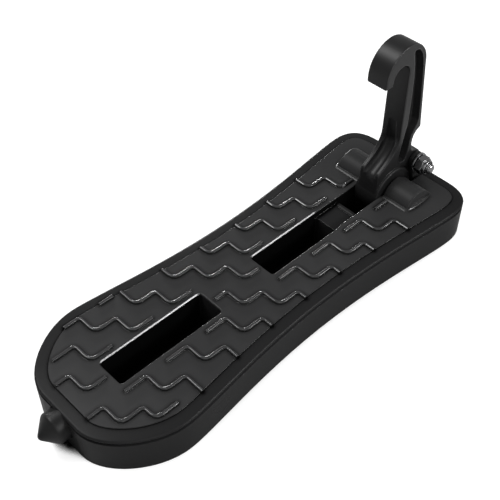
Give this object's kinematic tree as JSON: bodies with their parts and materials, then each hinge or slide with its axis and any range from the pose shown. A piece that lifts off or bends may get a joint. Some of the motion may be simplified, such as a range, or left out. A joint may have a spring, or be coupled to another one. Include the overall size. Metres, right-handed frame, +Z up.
{
  "type": "folding car door latch step",
  "caption": "Folding tread plate with a hook arm that hangs on a car door latch loop, making a step up to the roof rack.",
  "frame": {"origin": "middle of the underside, in the plane of the plate's bottom edge", "axes": "+X along the plate from the pointed tip to the hinge, +Y across it, +Z up towards the hook"},
  "size_m": [0.216, 0.0718, 0.0923],
  "materials": {
    "black_coat": "satin black powder coat on die-cast alloy",
    "zinc_steel": "bright zinc plate",
    "dark_steel": "blackened hardened steel",
    "black_rubber": "matt black rubber"
  },
  "bodies": {
    "step": {"step_plate": "black_coat", "hinge_pin": "zinc_steel", "breaker_tip": "dark_steel"},
    "hook": {"hook_arm": "black_coat", "heel_bolt": "zinc_steel", "heel_nut": "zinc_steel", "heel_washer_near": "zinc_steel", "heel_washer_far": "zinc_steel", "heel_bumper": "black_rubber"}
  },
  "joints": [
    {"name": "hook_fold", "type": "hinge", "parent": "step", "child": "hook", "pos_m": [0.0815, 0, 0.0161], "axis": [0, -1, 0], "range_deg": [0, 90]}
  ]
}
